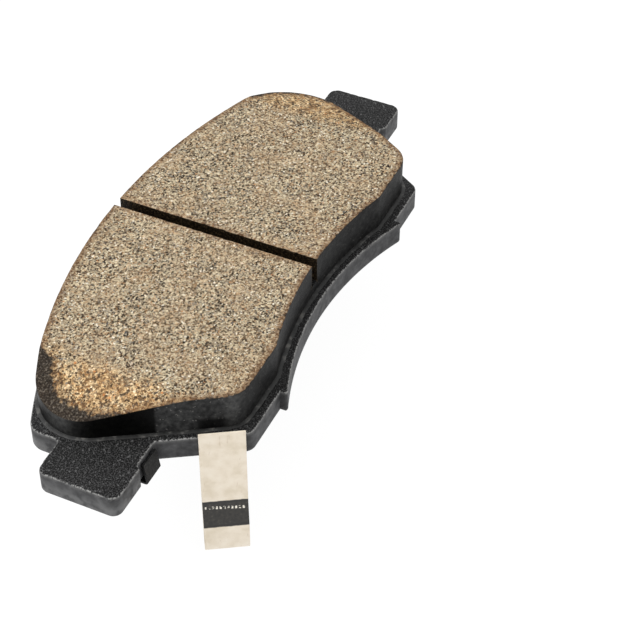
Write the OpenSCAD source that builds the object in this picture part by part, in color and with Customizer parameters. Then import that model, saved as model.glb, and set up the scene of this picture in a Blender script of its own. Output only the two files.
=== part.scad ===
// Disc brake pad with a slotted, chamfered friction block, a clip-on shim and a
// folded spring strip that rubs on the disc when the friction block is worn.
// Origin: middle of the shim's back face, at the pad's mean rubbing radius.
// +Z points at the disc, +Y away from the disc's axis, +X at the end without the strip.

/* [Friction block] */
// Disc radius that the block's outer edge follows
outer_edge_r = 140; // [120:0.5:180]
// Height of the block along its centre line, across the disc
block_h = 51.5; // [44:0.5:60]
// Radius of the hollow in the block's inner edge
inner_edge_r = 100; // [80:1:140]
// Drop of the inner edge from the centre line to its flat ends
inner_edge_drop = 4; // [2:0.25:6]
// Half length of the block, measured straight out from the origin
block_half_l = 63.2; // [56:0.2:72]
// Slant of the block's two ends
end_angle = 31.8; // [26:0.2:36]
// Radius of the two outer corners
outer_corner_r = 12; // [6:0.5:15]
// Radius of the two inner corners
inner_corner_r = 7; // [3:0.5:9]
// Thickness of the friction material above the underlayer
friction_t = 7.1; // [5:0.1:12]
// Width of the slot across the middle
slot_w = 2.7; // [1.5:0.1:4]
// Depth of the slot
slot_depth = 6.5; // [3:0.1:7]
// Distance from the middle to the start of each end chamfer
chamfer_start = 50.6; // [40:0.1:58]
// Slope of the end chamfers
chamfer_angle = 19; // [6:0.5:24]

/* [Underlayer and bond] */
// Thickness of the underlayer
underlayer_t = 2; // [1:0.1:3]
// Thickness of the bonding layer
bond_t = 0.3; // [0.2:0.05:0.5]
// Width of the flash that the mould leaves around the block's foot
flash_w = 0.9; // [0.4:0.1:1.4]
// Diameter of the keying holes in the plate
key_hole_d = 12; // [8:0.5:16]
// Distance of the keying holes from the middle
key_hole_x = 30; // [22:0.5:38]

/* [Backing plate] */
// Thickness of the backing plate
plate_t = 6; // [4:0.1:8]
// Ledge between the block's ends and the plate's ends
ledge_w = 2.2; // [1.5:0.1:3.5]
// Width of the plate's ledge along the block's outer edge
outer_ledge_w = 1.2; // [1:0.1:3.5]
// Ledge between the flats of the block's inner edge and of the plate's
inner_ledge_w = 2.7; // [1.5:0.1:4]
// Radius of the hollow in the plate's inner edge
plate_hollow_r = 84; // [70:1:110]
// Depth of the plate's inner edge below the block, on the centre line
plate_lip_h = 2.2; // [1.5:0.1:4]
// Half width of the hollow, out to the two lug tips
lug_half_w = 31.9; // [28:0.1:34]
// Height of the lug tips below the plate's flat inner edge
lug_h = 1.5; // [0.8:0.1:2]
// Radius of the plate's inner end corners
plate_corner_r = 3; // [1:0.5:5]
// Radius of the plate's outer shoulders
shoulder_r = 4; // [2:0.5:6]

/* [Ears] */
// Length from ear tip to ear tip
ear_span = 149.4; // [142:0.2:170]
// Width of each ear where it slides in the bracket
ear_w = 19.5; // [14:0.1:22]
// Height of the ears' outer edge above the origin
ear_top_y = 3.8; // [1:0.1:6]
// How far each ear stands out past the plate's shoulder
ear_reach = 9.8; // [7:0.1:13]
// Radius of the ears' corners
ear_corner_r = 2.3; // [1:0.1:4]
// Depth of the recess for the shim's hook in the ear's inner edge
recess_depth = 1; // [0.5:0.1:1.5]
// Length of that recess from the ear's root
recess_l = 7.2; // [6.5:0.1:8]
// Radius of the fillets in the ears' inside corners
root_fillet_r = 1; // [0.5:0.1:1.5]

/* [Shim] */
// Thickness of the shim's steel
shim_t = 0.5; // [0.4:0.05:0.8]
// Thickness of the rubber coat on each side
coat_t = 0.3; // [0.15:0.05:0.4]
// Width of each hook
hook_w = 5.5; // [4:0.1:6]
// Distance of the hook's tip from the plate's friction side
hook_tip_drop = 1.2; // [0.5:0.1:2.5]
// Lean of the hook towards the ear
hook_lean = 9; // [0:1:12]
// Gap between the hook's tip and the ear
hook_gap = 0.4; // [0.3:0.05:0.6]
// Inside radius of the hook's bend
hook_bend_r = 0.4; // [0.3:0.1:0.8]

/* [Wear indicator] */
// Width of the strip
strip_w = 10.2; // [7:0.1:12]
// Thickness of the strip
strip_t = 0.5; // [0.4:0.05:0.8]
// Distance of the strip's middle from the plate's inner end corner
strip_place = 6.5; // [6:0.1:8]
// Gap between the blade and the end of the plate
blade_gap = 0.6; // [0.5:0.1:1.2]
// Height of the blade's tip above the plate's friction side
tip_h = 1.7; // [1:0.1:3]
// Depth of the strip's fold behind the plate
fold_depth = 29.5; // [24:0.1:36]
// Depth behind the plate at which the step in the blade starts
step_depth = 14; // [8:0.1:16]
// Height of the step
step_h = 6.9; // [4:0.1:8]
// How far the step moves the blade away from the plate
step_out = 1.6; // [0.5:0.1:2.5]
// Inside radius of the fold
fold_r = 1.6; // [1:0.1:2.5]
// Inside radius of the bend between the foot and the leg
foot_bend_r = 0.5; // [0.3:0.1:1]
// Length of the foot that lies against the plate
foot_l = 11; // [9:0.5:14]
// Diameter of the rivet's shank
rivet_d = 4; // [3:0.1:5]
// Diameter of the rivet's head
rivet_head_d = 7; // [6:0.1:8]
// Height of the rivet's head
rivet_head_h = 1.6; // [1:0.1:2]

/* [Hidden] */

arc_fn = 360;        // facets shown on the long edge arcs
round_fn = 64;       // facets shown on holes, corners and bends
over = 1;            // how far a cutting shape runs past what it cuts
round_step = 0.01;   // tiny step where a round meets an edge, so that the two cross cleanly
joint_gap = 0.3;     // space between the blade and the foot at the fold
foot_clear = 0.8;    // space between the shim's edge and the strip's foot
rivet_play = 0.05;   // space around the rivet's shank

// Levels through the pad, from the shim's back face to the rubbing face
plate_back_z = shim_t + 2 * coat_t;
plate_top_z = plate_back_z + plate_t;
underlayer_z = plate_top_z + bond_t;
friction_z = underlayer_z + underlayer_t;
face_z = friction_z + friction_t;

// The block's outline
outer_y = block_h / 2;
inner_y = -block_h / 2;
outer_axis = [0, outer_y - outer_edge_r];
inner_axis = [0, inner_y - inner_edge_r];
inner_flat_y = inner_y - inner_edge_drop;

// Each end is a straight line; these run along it and straight out of it
end_dir = [-sin(end_angle), cos(end_angle)];
end_out = [-cos(end_angle), -sin(end_angle)];

// The plate's outline
plate_edge_r = outer_edge_r + outer_ledge_w;
plate_flat_y = inner_flat_y - inner_ledge_w;
plate_hollow_y = inner_y - plate_lip_h;
plate_hollow_axis = [0, plate_hollow_y - plate_hollow_r];
lug_y = plate_flat_y - lug_h;
ear_x = ear_span / 2;
shoulder_x = ear_x - ear_reach;
ear_low_y = ear_top_y - ear_w;
recess_y = ear_low_y + recess_depth;

// The hook's place along the ear, in the middle of the recess
ear_root = end_point(recess_y, ledge_w);
recess_end_x = ear_root[0] - recess_l;
hook_mid_x = (ear_root[0] + recess_end_x) / 2;
hook_r = hook_bend_r + shim_t;
hook_tip_z = plate_top_z - hook_tip_drop;
hook_bend_z = coat_t + hook_r;
hook_l = (hook_tip_z - hook_bend_z) / cos(hook_lean);
// the hook's inner face reaches its gap from the ear at the tip
hook_bend_y = recess_y - hook_gap - hook_l * sin(hook_lean) + hook_bend_r * cos(hook_lean);

// The strip's place at the plate's end, and its levels
plate_corner = end_point(plate_flat_y, ledge_w);
strip_at = plate_corner + strip_place * end_dir;
strip_angle = 180 + end_angle;
tip_z = plate_top_z + tip_h;
step_top_z = plate_back_z - step_depth;
step_low_z = step_top_z - step_h;
fold_low_z = plate_back_z - fold_depth;
strip_turn_r = fold_r + strip_t;
fold_mid_z = fold_low_z + strip_turn_r;
blade_in = blade_gap;
blade_low_in = blade_in + step_out;
fold_mid = blade_low_in - fold_r;
leg_in = fold_mid - strip_turn_r;
foot_bend_at = [leg_in - foot_bend_r, plate_back_z - strip_t - foot_bend_r];
leg_l = foot_bend_at[1] - fold_mid_z;
foot_end = foot_bend_at[0] - foot_l;
rivet_at = foot_bend_at[0] - foot_l / 2;
rivet_set_h = rivet_d / 4;

function unit(v) = v / norm(v);

// The point of an end line, moved out by margin, that lies at height y
function end_point(y, margin) =
  let (start = [-block_half_l, 0] + margin * end_out)
  start + end_dir * (y - start[1]) / end_dir[1];

// Centre of the round of radius r that touches the line through p along dir,
// on its side inward, and lies inside the circle of radius big_r about axis
function line_arc_centre(p, dir, inward, axis, big_r, r) =
  let (
    w = p + r * inward - axis,
    along = w * dir,
    reach = sqrt(along * along - w * w + (big_r - r) * (big_r - r))
  )
  p + r * inward + dir * (reach - along);

// Everything outside a round corner: centre c, touching points t1 and t2
module corner_waste(c, t1, t2) {
  r = norm(t1 - c);
  out = unit(unit(t1 - c) + unit(t2 - c));
  difference() {
    polygon([c, c + 2 * (t1 - c), c + 3 * r * out, c + 2 * (t2 - c)]);
    translate(c) circle(r = r - round_step, $fn = round_fn);
  }
}

// Waste at a corner where two straight edges leave the vertex v along d1 and d2
module straight_corner_waste(v, d1, d2, r) {
  tangent_l = r / tan(acos(d1 * d2) / 2);
  corner_waste(corner_centre(v, d1, d2, r), v + d1 * tangent_l, v + d2 * tangent_l);
}

// Centre of the round of radius r that touches the edges leaving v along d1 and d2
function corner_centre(v, d1, d2, r) = v + unit(d1 + d2) * r / sin(acos(d1 * d2) / 2);

// Filler for an inside corner at v; it reaches into the solid beyond both edges
module corner_filler(v, d1, d2, r) {
  c = corner_centre(v, d1, d2, r);
  tangent_l = r / tan(acos(d1 * d2) / 2);
  t1 = v + d1 * tangent_l;
  t2 = v + d2 * tangent_l;
  polygon([v - (c - v) / 2, t1 + (t1 - c) / 2, c, t2 + (t2 - c) / 2]);
}

// The round hollow that turns that filler into a fillet
module corner_hollow(v, d1, d2, r) {
  translate(corner_centre(v, d1, d2, r)) circle(r = r - round_step, $fn = round_fn);
}

// Waste at the corner between a straight edge through p and an outer arc
module arc_corner_waste(p, dir, inward, axis, big_r, r) {
  c = line_arc_centre(p, dir, inward, axis, big_r, r);
  corner_waste(c, c - r * inward, axis + unit(c - axis) * big_r);
}

module both_ends() {
  children();
  mirror([1, 0]) children();
}

// The block's outline, grown by margin on every side
module block_outline(margin = 0) {
  low = end_point(inner_flat_y - margin, margin);
  high = end_point(outer_y + over, margin);
  difference() {
    intersection() {
      translate(outer_axis) circle(r = outer_edge_r + margin, $fn = arc_fn);
      polygon([low, high, [-high[0], high[1]], [-low[0], low[1]]]);
    }
    translate(inner_axis) circle(r = inner_edge_r - margin, $fn = arc_fn);
    both_ends() {
      straight_corner_waste(low, [1, 0], end_dir, inner_corner_r + margin);
      arc_corner_waste(low, end_dir, -end_out, outer_axis, outer_edge_r + margin, outer_corner_r + margin);
    }
  }
}

module ear_outline() {
  tail = [shoulder_x / 2, recess_y];
  difference() {
    polygon([
      [-tail[0], ear_top_y], [-ear_x, ear_top_y], [-ear_x, ear_low_y],
      [recess_end_x - recess_depth, ear_low_y], [recess_end_x, recess_y], [-tail[0], tail[1]]
    ]);
    straight_corner_waste([-ear_x, ear_top_y], [1, 0], [0, -1], ear_corner_r);
    straight_corner_waste([-ear_x, ear_low_y], [1, 0], [0, 1], ear_corner_r);
  }
}

module plate_outline() {
  corner = end_point(plate_flat_y, ledge_w);
  ear_mid = end_point(ear_top_y - ear_w / 2, ledge_w);
  difference() {
    union() {
      intersection() {
        translate(outer_axis) circle(r = plate_edge_r, $fn = arc_fn);
        polygon([
          corner, ear_mid, [-shoulder_x, ear_top_y], [-shoulder_x, outer_y + 2 * outer_ledge_w],
          [shoulder_x, outer_y + 2 * outer_ledge_w], [shoulder_x, ear_top_y],
          [-ear_mid[0], ear_mid[1]], [-corner[0], corner[1]]
        ]);
      }
      translate([-lug_half_w, lug_y]) square([2 * lug_half_w, -lug_y]);
      both_ends() {
        ear_outline();
        corner_filler(ear_root, [-1, 0], -end_dir, root_fillet_r);
        corner_filler([-shoulder_x, ear_top_y], [0, 1], [-1, 0], root_fillet_r);
      }
    }
    translate(plate_hollow_axis) circle(r = plate_hollow_r, $fn = arc_fn);
    both_ends() {
      corner_hollow(ear_root, [-1, 0], -end_dir, root_fillet_r);
      corner_hollow([-shoulder_x, ear_top_y], [0, 1], [-1, 0], root_fillet_r);
      straight_corner_waste(corner, [1, 0], end_dir, plate_corner_r);
      arc_corner_waste([-shoulder_x, ear_top_y], [0, 1], [1, 0], outer_axis, plate_edge_r, shoulder_r);
    }
  }
}

// Puts children that are drawn with +X straight out of the plate's end at the strip
module at_strip() {
  translate(strip_at) rotate([0, 0, strip_angle]) children();
}

// A profile drawn as distance out of the plate's end and height, made strip_w wide
module strip_of_profile() {
  at_strip() rotate([90, 0, 0])
    linear_extrude(strip_w, center = true) children();
}

module key_holes(h, play = 0) {
  for (side = [-1, 1])
    translate([side * key_hole_x, 0, plate_back_z - over])
      cylinder(d = key_hole_d + 2 * play, h = h, $fn = round_fn);
}

// The rivet's shank and set head, or with play the hole for them
module rivet_shank(play = 0) {
  at_strip() translate([rivet_at, 0, 0]) {
    translate([0, 0, plate_back_z - strip_t - over * play])
      cylinder(d = rivet_d + 2 * play, h = plate_t + strip_t + over * play, $fn = round_fn);
    translate([0, 0, plate_top_z - rivet_set_h])
      cylinder(d1 = rivet_d + 2 * play, d2 = rivet_d + 2 * rivet_set_h + 2 * play,
               h = rivet_set_h, $fn = round_fn);
  }
}

module backing_plate() {
  color([0.16, 0.16, 0.17])
    difference() {
      translate([0, 0, plate_back_z]) linear_extrude(plate_t) plate_outline();
      key_holes(plate_t + 2 * over);
      rivet_shank(rivet_play);
    }
}

module bond_layer() {
  color([0.1, 0.1, 0.1])
    difference() {
      translate([0, 0, plate_top_z]) linear_extrude(bond_t) block_outline(flash_w);
      key_holes(plate_t + bond_t + 2 * over);
    }
}

module underlayer() {
  color([0.2, 0.18, 0.16]) {
    translate([0, 0, underlayer_z]) linear_extrude(underlayer_t) block_outline();
    for (side = [-1, 1])
      translate([side * key_hole_x, 0, plate_back_z])
        cylinder(d = key_hole_d, h = plate_t + bond_t + underlayer_t / 2, $fn = round_fn);
  }
}

module friction_block() {
  color([0.66, 0.58, 0.48])
    difference() {
      translate([0, 0, friction_z]) linear_extrude(friction_t) block_outline();
      translate([-slot_w / 2, inner_flat_y - over, face_z - slot_depth])
        cube([slot_w, outer_y - inner_flat_y + 2 * over, slot_depth + over]);
      for (side = [0, 1])
        mirror([side, 0, 0])
          translate([chamfer_start, inner_flat_y - over, face_z])
            rotate([0, chamfer_angle, 0])
              cube([block_half_l, block_h + inner_edge_drop + 2 * over, friction_t]);
    }
}

// The shim's outline, cut away round the strip's foot and on to the inner corner
module shim_outline() {
  cut = [foot_l + inner_corner_r + ledge_w, strip_w + strip_place + 2 * foot_clear];
  difference() {
    block_outline();
    translate(strip_at) rotate(strip_angle)
      translate([foot_end - foot_clear, strip_w / 2 + foot_clear - cut[1]])
        square(cut);
  }
}

module shim_coat(z) {
  color([0.09, 0.09, 0.09])
    translate([0, 0, z]) linear_extrude(coat_t) shim_outline();
}

module shim_inner_coat() {
  shim_coat(coat_t + shim_t);
}

module shim_outer_coat() {
  shim_coat(0);
}

// Everything inside the face of radius r of a hook that runs out below the ear
// and then turns up beside it; past is how far it runs beyond the hook's ends
module hook_side(r, past) {
  translate([hook_bend_y, hook_bend_z]) {
    circle(r = r, $fn = round_fn);
    translate([0, -r]) square([past - hook_bend_y, r + past]);
    rotate(-hook_lean) translate([-r, 0]) square([r + past, hook_l + past]);
  }
}

module hook_section() {
  difference() {
    hook_side(hook_r, 0);
    hook_side(hook_bend_r, hook_r);
  }
}

module shim() {
  color([0.12, 0.12, 0.13]) {
    translate([0, 0, coat_t]) linear_extrude(shim_t) shim_outline();
    for (side = [0, 1])
      mirror([side, 0, 0])
        translate([hook_mid_x, 0, 0]) rotate([90, 0, 90])
          linear_extrude(hook_w, center = true) hook_section();
  }
}

// Half of the strip's fold, with a straight stretch of height h above it
module half_fold(h) {
  difference() {
    union() {
      circle(r = strip_turn_r, $fn = round_fn);
      square([strip_turn_r, h]);
    }
    circle(r = fold_r, $fn = round_fn);
    translate([-strip_turn_r, 0]) square([strip_turn_r + fold_r, h + over]);
    translate([-strip_turn_r, -strip_turn_r]) square([strip_turn_r + joint_gap / 2, 2 * strip_turn_r]);
  }
}

// Everything inside the face of radius r of the foot and the leg's upper half
module foot_side(r, past) {
  translate(foot_bend_at) {
    circle(r = r, $fn = round_fn);
    translate([-foot_l - past, -past]) square([foot_l + past, r + past]);
    translate([-past, -leg_l / 2]) square([r + past, leg_l / 2]);
  }
}

// Foot against the plate's back, the leg behind the blade and half of the fold
module foot_section() {
  difference() {
    foot_side(foot_bend_r + strip_t, 0);
    foot_side(foot_bend_r, foot_bend_r + strip_t);
  }
  translate([fold_mid, fold_mid_z]) mirror([1, 0]) half_fold(leg_l);
}

// Blade in front of the plate's end, its step and the other half of the fold
module blade_section() {
  low_out = blade_low_in + strip_t;
  high_out = blade_in + strip_t;
  straight_l = step_low_z - fold_mid_z;
  low_z = step_low_z - straight_l / 2;
  polygon([
    [blade_in, tip_z], [blade_in, step_top_z], [blade_low_in, step_low_z], [blade_low_in, low_z],
    [low_out, low_z], [low_out, step_low_z], [high_out, step_top_z], [high_out, tip_z]
  ]);
  translate([fold_mid, fold_mid_z]) half_fold(straight_l);
}

module indicator_foot() {
  color([0.8, 0.77, 0.7])
    difference() {
      strip_of_profile() foot_section();
      rivet_shank(rivet_play);
    }
}

module indicator_blade() {
  color([0.85, 0.81, 0.73]) strip_of_profile() blade_section();
}

// Domed head behind the foot, shank through the plate, head set flush under the block
module indicator_rivet() {
  dome_r = (pow(rivet_head_d / 2, 2) + pow(rivet_head_h, 2)) / (2 * rivet_head_h);
  head_z = plate_back_z - strip_t;
  color([0.55, 0.55, 0.56]) {
    rivet_shank();
    at_strip() translate([rivet_at, 0, head_z]) rotate([180, 0, 0])
      rotate_extrude($fn = round_fn)
        intersection() {
          translate([0, rivet_head_h - dome_r]) circle(r = dome_r, $fn = arc_fn);
          square([rivet_head_d / 2, rivet_head_h]);
        }
  }
}

backing_plate();
bond_layer();
underlayer();
friction_block();
shim_inner_coat();
shim();
shim_outer_coat();
indicator_foot();
indicator_blade();
indicator_rivet();
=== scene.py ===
import math
import bmesh
import bpy
import numpy as np
from mathutils import Matrix, Vector


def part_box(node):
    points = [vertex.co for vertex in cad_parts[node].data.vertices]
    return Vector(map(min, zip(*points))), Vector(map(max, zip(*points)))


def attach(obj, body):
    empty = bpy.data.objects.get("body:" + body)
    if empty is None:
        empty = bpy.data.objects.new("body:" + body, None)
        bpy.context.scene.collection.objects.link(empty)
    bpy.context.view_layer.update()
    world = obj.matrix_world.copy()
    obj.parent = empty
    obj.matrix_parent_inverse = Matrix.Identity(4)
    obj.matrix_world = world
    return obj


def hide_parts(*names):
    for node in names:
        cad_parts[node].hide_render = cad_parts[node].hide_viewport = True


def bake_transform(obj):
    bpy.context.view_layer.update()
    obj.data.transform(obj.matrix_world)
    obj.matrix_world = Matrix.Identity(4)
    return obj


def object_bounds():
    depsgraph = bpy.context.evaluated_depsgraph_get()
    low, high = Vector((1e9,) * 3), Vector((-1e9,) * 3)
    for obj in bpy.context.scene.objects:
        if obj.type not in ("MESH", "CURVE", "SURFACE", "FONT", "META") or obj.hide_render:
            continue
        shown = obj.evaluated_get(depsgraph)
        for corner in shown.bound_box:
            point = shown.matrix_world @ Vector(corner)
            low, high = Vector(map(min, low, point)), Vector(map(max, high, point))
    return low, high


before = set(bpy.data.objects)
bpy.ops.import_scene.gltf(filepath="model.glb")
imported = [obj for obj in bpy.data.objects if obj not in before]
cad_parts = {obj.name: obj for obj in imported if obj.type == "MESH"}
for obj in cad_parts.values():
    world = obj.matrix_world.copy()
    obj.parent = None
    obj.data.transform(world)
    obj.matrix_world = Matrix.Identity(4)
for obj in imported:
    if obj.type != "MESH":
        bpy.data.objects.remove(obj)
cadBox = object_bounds()
mm = 0.001
print("frame loaded:", ", ".join(sorted(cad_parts)))


def level(node, end):
    # height in mm of a CAD node's lowest (0) or highest (1) point
    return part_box(node)[end].z / mm


view = {
    "place": (-275.57, -153.73, 285.41),   # mm
    "azimuth": -65.318,
    "elevation": 43.389,
    "roll": 0.340,
    "lens": 100.2,
    "shift": (0.0008, 0.0017),
    "nearClip": 0.01,   # m
    "farClip": 20,
}
studio = {
    "skyStrength": 0.92,
    "keyPlace": (-0.35, 0.45, 0.75),   # m
    "keyEnergy": 5.0,
    "keySize": 0.55,
    "floorGap": 0.2,       # mm between the floor and the lowest point
    "floorSize": 6.0,
    "floorGlow": 0.93,
    "floorTone": 0.12,
    "floorRoughness": 0.9,
}


def addObject(name, data):
    made = bpy.data.objects.new(name, data)
    bpy.context.scene.collection.objects.link(made)
    return made


def makeCamera():
    camera = addObject("camera", bpy.data.cameras.new("camera"))
    azimuth, elevation, roll = (math.radians(view[k]) for k in ("azimuth", "elevation", "roll"))
    back = Vector((
        math.sin(azimuth) * math.cos(elevation),
        -math.cos(azimuth) * math.cos(elevation),
        math.sin(elevation),
    ))
    level0 = Vector((math.cos(azimuth), math.sin(azimuth), 0))
    up0 = back.cross(level0)
    right = math.cos(roll) * level0 + math.sin(roll) * up0
    up = math.cos(roll) * up0 - math.sin(roll) * level0
    turn = Matrix((right, up, back)).transposed()
    camera.matrix_world = Matrix.Translation(Vector(view["place"]) * mm) @ turn.to_4x4()
    camera.data.lens = view["lens"]
    camera.data.shift_x, camera.data.shift_y = view["shift"]
    camera.data.clip_start = view["nearClip"]
    camera.data.clip_end = view["farClip"]
    bpy.context.scene.camera = camera


def makeKeyLight():
    lamp = bpy.data.lights.new("keyLight", "AREA")
    lamp.shape = "DISK"
    lamp.size = studio["keySize"]
    lamp.energy = studio["keyEnergy"]
    light = addObject("keyLight", lamp)
    light.location = studio["keyPlace"]
    light.rotation_euler = (-Vector(studio["keyPlace"])).to_track_quat("-Z", "Y").to_euler()


def makeStudio():
    world = bpy.data.worlds.new("studio")
    bpy.context.scene.world = world
    world.use_nodes = True
    sky = world.node_tree.nodes["Background"]
    sky.inputs["Color"].default_value = (1, 1, 1, 1)
    sky.inputs["Strength"].default_value = studio["skyStrength"]
    makeKeyLight()
    half = studio["floorSize"] / 2
    low = cadBox[0].z - studio["floorGap"] * mm
    mesh = bpy.data.meshes.new("floor")
    corners = [(-half, -half, low), (half, -half, low), (half, half, low), (-half, half, low)]
    mesh.from_pydata(corners, [], [(0, 1, 2, 3)])
    floor = addObject("floor", mesh)
    paper = bpy.data.materials.new("paper")
    paper.use_nodes = True
    shader = paper.node_tree.nodes["Principled BSDF"]
    shade = studio["floorTone"]
    shader.inputs["Base Color"].default_value = (shade, shade, shade, 1)
    shader.inputs["Roughness"].default_value = studio["floorRoughness"]
    shader.inputs["Specular IOR Level"].default_value = 0.0
    shader.inputs["Emission Color"].default_value = (1, 1, 1, 1)
    shader.inputs["Emission Strength"].default_value = studio["floorGlow"]
    mesh.materials.append(paper)


makeCamera()
makeStudio()
bpy.context.scene.view_settings.view_transform = "Standard"
print("camera and studio ready")


def latticeValue(cell, seed):
    # a fixed number from 0 to 1 for each whole-numbered cell: the fraction of a large sine
    mixed = np.sin(cell @ np.array([127.1, 311.7, 74.7]) + seed * 53.3) * 43758.5453
    return mixed - np.floor(mixed)


def softNoise(points, size, seed):
    # value noise from -1 to 1: the cell's eight corner values blended by 3t^2 - 2t^3 along each axis
    scaled = points / size
    base = np.floor(scaled)
    t = scaled - base
    t = t * t * (3 - 2 * t)
    total = np.zeros(points.shape[:-1])
    for corner in range(8):
        step = np.array([corner & 1, corner >> 1 & 1, corner >> 2 & 1])
        weight = np.prod(np.where(step == 1, t, 1 - t), axis=-1)
        total += weight * latticeValue(base + step, seed)
    return 2 * total - 1


def layeredNoise(points, layers):
    # the sum of value noises, each layer given as its size in mm, its seed and its share
    return sum(share * softNoise(points, size, seed) for size, seed, share in layers)


def fadeIn(values, start, width):
    # 0 up to start, then rising in a straight line to 1 over width
    return np.clip((values - start) / width, 0, 1)


def fadeOut(values, start, width):
    # 0 from start on, and rising in a straight line to 1 over width below it
    return np.clip((start - values) / width, 0, 1)


def lift(flat, z):
    # x and y points given a height, as x, y, z points
    height = np.broadcast_to(np.asarray(z, float)[..., None], flat.shape[:-1] + (1,))
    return np.concatenate([flat, height], axis=-1)


def cross2(a, b):
    return a[0] * b[1] - a[1] * b[0]


def edgeField(edge, p):
    # how far p is inside an edge, which is a line or an arc about a centre, and the direction inwards
    start, end, centre = edge
    if centre is None:
        along = (end - start) / np.linalg.norm(end - start)
        inward = np.array([-along[1], along[0]])
        return inward @ (p - start), inward
    sense = np.sign(cross2(start - centre, end - centre))
    arm = p - centre
    reach = np.linalg.norm(arm)
    return sense * (np.linalg.norm(start - centre) - reach), -sense * arm / reach


arcLeastSteps = 5
newtonSteps = 12


def arcPoints(centre, start, end, sense, step):
    # equal steps of angle about the centre from start to end
    first = math.atan2(*(start - centre)[::-1])
    last = math.atan2(*(end - centre)[::-1])
    sweep = ((last - first) * sense % (2 * math.pi)) * sense
    radius = np.linalg.norm(start - centre)
    count = max(arcLeastSteps, math.ceil(abs(sweep) * radius / step))
    angle = first + sweep * np.linspace(0, 1, count + 1)
    return centre + radius * np.stack([np.cos(angle), np.sin(angle)], axis=-1)


def roundedCorner(edgeIn, edgeOut, radius, step):
    # the round's centre is the point at distance radius from both edges, found by Newton's method
    vertex = edgeOut[0]
    if radius == 0:
        return np.array([vertex, vertex])
    turn = np.sign(cross2(edgeField(edgeIn, vertex)[1], edgeField(edgeOut, vertex)[1]))
    centre = vertex + turn * radius * (edgeField(edgeIn, vertex)[1] + edgeField(edgeOut, vertex)[1])
    for _ in range(newtonSteps):
        (gapIn, wayIn), (gapOut, wayOut) = edgeField(edgeIn, centre), edgeField(edgeOut, centre)
        miss = np.array([gapIn, gapOut]) - turn * radius
        centre = centre - np.linalg.solve(np.array([wayIn, wayOut]), miss)
    touchIn = centre - turn * radius * edgeField(edgeIn, centre)[1]
    touchOut = centre - turn * radius * edgeField(edgeOut, centre)[1]
    return arcPoints(centre, touchIn, touchOut, turn, step)


def roundedOutline(corners, step):
    # corners run anticlockwise as (vertex, radius, centre of the arc that leaves it, or None);
    # gives each corner's round and each edge's stretch between two rounds
    def point(place):
        return None if place is None else np.array(place, float)

    corners = [(point(vertex), radius, point(centre)) for vertex, radius, centre in corners]
    count = len(corners)
    edges = [(corners[i][0], corners[(i + 1) % count][0], corners[i][2]) for i in range(count)]
    rounds = [roundedCorner(edges[i - 1], edges[i], corners[i][1], step) for i in range(count)]
    stretches = []
    for i in range(count):
        start, end, centre = rounds[i][-1], rounds[(i + 1) % count][0], edges[i][2]
        if centre is None:
            pieces = max(1, math.ceil(np.linalg.norm(end - start) / step))
            stretches.append(start + (end - start) * np.linspace(0, 1, pieces + 1)[:, None])
        else:
            sense = np.sign(cross2(edges[i][0] - centre, edges[i][1] - centre))
            stretches.append(arcPoints(centre, start, end, sense, step))
    return rounds, stretches


def evenly(path, count):
    # the same path in count equal steps of its length
    run = np.concatenate([[0], np.cumsum(np.linalg.norm(np.diff(path, axis=0), axis=1))])
    at = np.linspace(0, run[-1], count + 1)
    return np.stack([np.interp(at, run, path[:, k]) for k in range(path.shape[1])], axis=-1)


def circlePoints(centre, radius, sense=1, count=48):
    # equal steps of angle round a circle, anticlockwise where sense is 1
    angle = np.linspace(0, sense * 2 * math.pi, count, endpoint=False)
    return np.array(centre) + radius * np.stack([np.cos(angle), np.sin(angle)], axis=-1)


def mirrored(path):
    # the other half's path, in the order that keeps the outline anticlockwise
    return path[::-1] * np.array([-1, 1])


def inset(ring, gap):
    # moves each point of a closed ring inwards by gap, along the mitre of its two edges
    edge = np.roll(ring, -1, axis=0) - ring
    edge = edge / np.linalg.norm(edge, axis=1)[:, None]
    inward = np.stack([-edge[:, 1], edge[:, 0]], axis=-1)
    before = np.roll(inward, 1, axis=0)
    mitre = (inward + before) / (1 + np.sum(inward * before, axis=1))[:, None]
    return ring + mitre * np.asarray(gap, float).reshape(-1, 1)


def grid(points, closed=False, flip=False):
    # quads between the rows and columns of points; a closed grid joins its last column to its first
    rows, columns = points.shape[:2]
    index = np.arange(rows * columns).reshape(rows, columns)
    if closed:
        index = np.concatenate([index, index[:, :1]], axis=1)
    quads = np.stack([index[:-1, :-1], index[:-1, 1:], index[1:, 1:], index[1:, :-1]], axis=-1)
    quads = quads.reshape(-1, 4)
    return points.reshape(-1, 3), list(quads[:, ::-1] if flip else quads)


def lid(ring, flip=False):
    # one flat face on a ring of points
    index = np.arange(len(ring))
    return ring, [index[::-1] if flip else index]


def coons(low, high, left, right):
    # a patch between four sides: the two blends of opposite sides less the blend of the four corners
    u = np.linspace(0, 1, len(low))[None, :, None]
    v = np.linspace(0, 1, len(left))[:, None, None]
    across = (1 - v) * low[None] + v * high[None]
    along = (1 - u) * left[:, None] + u * right[:, None]
    ends = (1 - u) * ((1 - v) * low[0] + v * high[0]) + u * ((1 - v) * low[-1] + v * high[-1])
    return across + along - ends


meshing = {
    "weldPerMm": 1e4,        # points that agree when rounded at this scale are one
    "nearestChunk": 4000,
    "mergeDistance": 1e-6,   # m
    "flatAngle": 0.5,        # degrees
    "copySmoothAngle": 30,
    "bevelAngle": 40,
    "bevelSegments": 2,
}


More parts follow.
